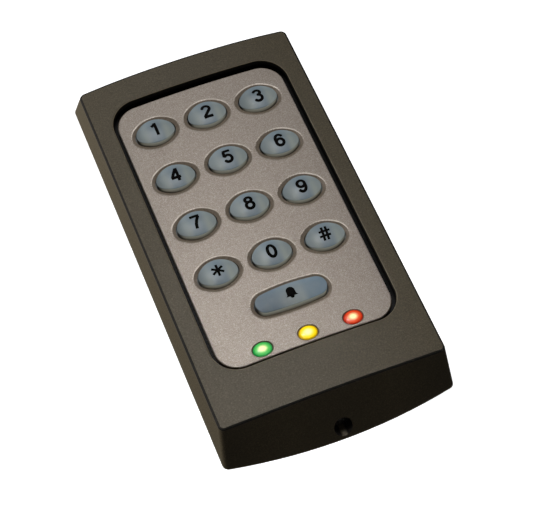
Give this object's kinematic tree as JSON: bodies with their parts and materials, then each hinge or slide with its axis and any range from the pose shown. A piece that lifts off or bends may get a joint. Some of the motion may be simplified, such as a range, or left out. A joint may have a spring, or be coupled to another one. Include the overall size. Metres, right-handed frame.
{
  "type": "keypad access reader",
  "caption": "Wall-mounted access reader: a crowned dark cover frames a silver fascia with domed number keys, a bell key and indicator lenses over a board and wall plate.",
  "frame": {"origin": "middle of the back face, in the plane of the wall", "axes": "+Z out of the face, +Y towards the reader's top, +X to the right as it is read"},
  "size_m": [0.0762, 0.151, 0.0171],
  "materials": {
    "cover_plastic": "fine spark-eroded texture, dark warm grey-brown",
    "fascia_silver": "silver metallic paint on black plastic",
    "key_plastic": "translucent satin blue-grey",
    "lens_green": "clear tinted light pipe, green",
    "lens_yellow": "clear tinted light pipe, yellow",
    "lens_red": "clear tinted light pipe, red",
    "chassis_plastic": "black moulded plastic",
    "wall_plate_plastic": "black moulded plastic, ejector marks",
    "seal_rubber": "soft black rubber",
    "mat_silicone": "milky silicone",
    "board_laminate": "green solder mask",
    "coil_copper": "enamelled copper winding",
    "chip_black": "moulded epoxy",
    "lamp_white": "white package, clear top",
    "can_aluminium": "capacitor can",
    "terminal_green": "green terminal housing",
    "screw_steel": "zinc-plated steel",
    "insert_brass": "turned brass"
  },
  "bodies": {
    "reader": {"front_cover": "cover_plastic", "keypad_plate": "fascia_silver", "inner_chassis": "chassis_plastic", "back_plate": "wall_plate_plastic", "rear_seal": "seal_rubber", "cable_grommet": "seal_rubber", "main_board": "board_laminate", "antenna_coil": "coil_copper", "microcontroller": "chip_black", "reader_chip": "chip_black", "buzzer": "chip_black", "board_capacitors": "can_aluminium", "terminal_block_left": "terminal_green", "terminal_block_right": "terminal_green", "terminal_screws": "screw_steel", "board_screws": "screw_steel", "chassis_screws": "screw_steel", "cover_screw": "screw_steel", "screw_insert": "insert_brass", "keypad_mat": "mat_silicone", "backlight_leds": "lamp_white", "led_green": "lamp_white", "led_yellow": "lamp_white", "led_red": "lamp_white", "lens_green": "lens_green", "lens_yellow": "lens_yellow", "lens_red": "lens_red", "dome_1": "mat_silicone", "dome_2": "mat_silicone", "dome_3": "mat_silicone", "dome_4": "mat_silicone", "dome_5": "mat_silicone", "dome_6": "mat_silicone", "dome_7": "mat_silicone", "dome_8": "mat_silicone", "dome_9": "mat_silicone", "dome_star": "mat_silicone", "dome_0": "mat_silicone", "dome_hash": "mat_silicone", "dome_bell": "mat_silicone"},
    "key_1": {"key_1": "key_plastic"},
    "key_2": {"key_2": "key_plastic"},
    "key_3": {"key_3": "key_plastic"},
    "key_4": {"key_4": "key_plastic"},
    "key_5": {"key_5": "key_plastic"},
    "key_6": {"key_6": "key_plastic"},
    "key_7": {"key_7": "key_plastic"},
    "key_8": {"key_8": "key_plastic"},
    "key_9": {"key_9": "key_plastic"},
    "key_star": {"key_star": "key_plastic"},
    "key_0": {"key_0": "key_plastic"},
    "key_hash": {"key_hash": "key_plastic"},
    "key_bell": {"key_bell": "key_plastic"}
  },
  "joints": [
    {"name": "press_1", "type": "slide", "parent": "reader", "child": "key_1", "axis": [0, 0, 1], "range_m": [-0.001, 0], "stiffness_N_per_m": 700, "springref_m": 0.0006, "deforming": ["dome_1"]},
    {"name": "press_2", "type": "slide", "parent": "reader", "child": "key_2", "axis": [0, 0, 1], "range_m": [-0.001, 0], "stiffness_N_per_m": 700, "springref_m": 0.0006, "deforming": ["dome_2"]},
    {"name": "press_3", "type": "slide", "parent": "reader", "child": "key_3", "axis": [0, 0, 1], "range_m": [-0.001, 0], "stiffness_N_per_m": 700, "springref_m": 0.0006, "deforming": ["dome_3"]},
    {"name": "press_4", "type": "slide", "parent": "reader", "child": "key_4", "axis": [0, 0, 1], "range_m": [-0.001, 0], "stiffness_N_per_m": 700, "springref_m": 0.0006, "deforming": ["dome_4"]},
    {"name": "press_5", "type": "slide", "parent": "reader", "child": "key_5", "axis": [0, 0, 1], "range_m": [-0.001, 0], "stiffness_N_per_m": 700, "springref_m": 0.0006, "deforming": ["dome_5"]},
    {"name": "press_6", "type": "slide", "parent": "reader", "child": "key_6", "axis": [0, 0, 1], "range_m": [-0.001, 0], "stiffness_N_per_m": 700, "springref_m": 0.0006, "deforming": ["dome_6"]},
    {"name": "press_7", "type": "slide", "parent": "reader", "child": "key_7", "axis": [0, 0, 1], "range_m": [-0.001, 0], "stiffness_N_per_m": 700, "springref_m": 0.0006, "deforming": ["dome_7"]},
    {"name": "press_8", "type": "slide", "parent": "reader", "child": "key_8", "axis": [0, 0, 1], "range_m": [-0.001, 0], "stiffness_N_per_m": 700, "springref_m": 0.0006, "deforming": ["dome_8"]},
    {"name": "press_9", "type": "slide", "parent": "reader", "child": "key_9", "axis": [0, 0, 1], "range_m": [-0.001, 0], "stiffness_N_per_m": 700, "springref_m": 0.0006, "deforming": ["dome_9"]},
    {"name": "press_star", "type": "slide", "parent": "reader", "child": "key_star", "axis": [0, 0, 1], "range_m": [-0.001, 0], "stiffness_N_per_m": 700, "springref_m": 0.0006, "deforming": ["dome_star"]},
    {"name": "press_0", "type": "slide", "parent": "reader", "child": "key_0", "axis": [0, 0, 1], "range_m": [-0.001, 0], "stiffness_N_per_m": 700, "springref_m": 0.0006, "deforming": ["dome_0"]},
    {"name": "press_hash", "type": "slide", "parent": "reader", "child": "key_hash", "axis": [0, 0, 1], "range_m": [-0.001, 0], "stiffness_N_per_m": 700, "springref_m": 0.0006, "deforming": ["dome_hash"]},
    {"name": "press_bell", "type": "slide", "parent": "reader", "child": "key_bell", "axis": [0, 0, 1], "range_m": [-0.001, 0], "stiffness_N_per_m": 700, "springref_m": 0.0006, "deforming": ["dome_bell"]}
  ]
}
